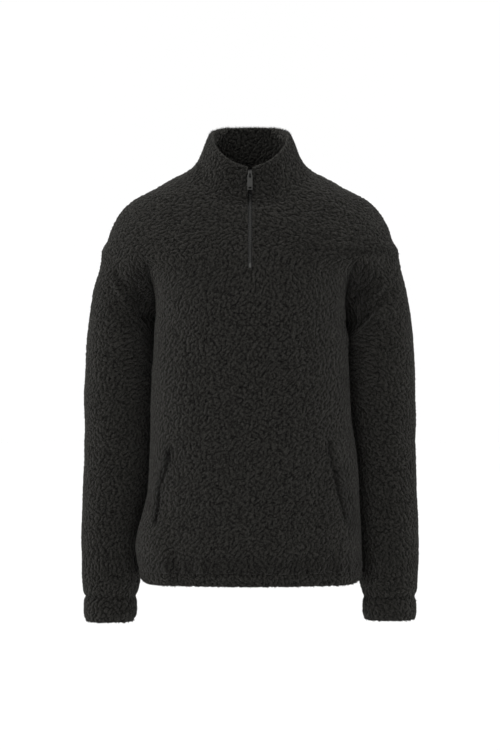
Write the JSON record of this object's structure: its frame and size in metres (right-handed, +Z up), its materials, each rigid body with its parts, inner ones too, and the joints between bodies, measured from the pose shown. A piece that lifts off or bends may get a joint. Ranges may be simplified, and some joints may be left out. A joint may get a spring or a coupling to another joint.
{
  "type": "sherpa fleece pullover",
  "caption": "Hollow fleece pullover, filled out as if worn, with drop shoulders, a stand collar, a quarter zip with a hinged pull tab, slanted pocket welts, turned cuffs and a narrow hem band.",
  "frame": {"origin": "between the tops of the shoulder seams at the neck, over the middle of the shoulders that carry the garment", "axes": "+Z up the body, +X to the wearer's left, -Y to the front"},
  "size_m": [0.5716, 0.2533, 0.8363],
  "materials": {
    "sherpa": "curly high-pile sherpa fleece, near-black, matt",
    "zip_tape": "woven tape, near-black",
    "zip_metal": "satin grey metal"
  },
  "bodies": {
    "pullover": {"front_body": "sherpa", "back_body": "sherpa", "sleeve_left": "sherpa", "sleeve_right": "sherpa", "cuff_left": "sherpa", "cuff_right": "sherpa", "collar": "sherpa", "hem_band": "sherpa", "pocket_welt_left": "sherpa", "pocket_welt_right": "sherpa", "zip_tape_left": "zip_tape", "zip_tape_right": "zip_tape", "zip_chain": "zip_metal", "zip_bottom_stop": "zip_metal", "zip_slider": "zip_metal"},
    "pull_tab": {"zip_pull_tab": "zip_metal"}
  },
  "joints": [
    {"name": "pull_tab_hinge", "type": "hinge", "parent": "pullover", "child": "pull_tab", "pos_m": [0, -0.09537, -0.01693], "axis": [-1, 0, 0], "range_deg": [0, 160]}
  ]
}
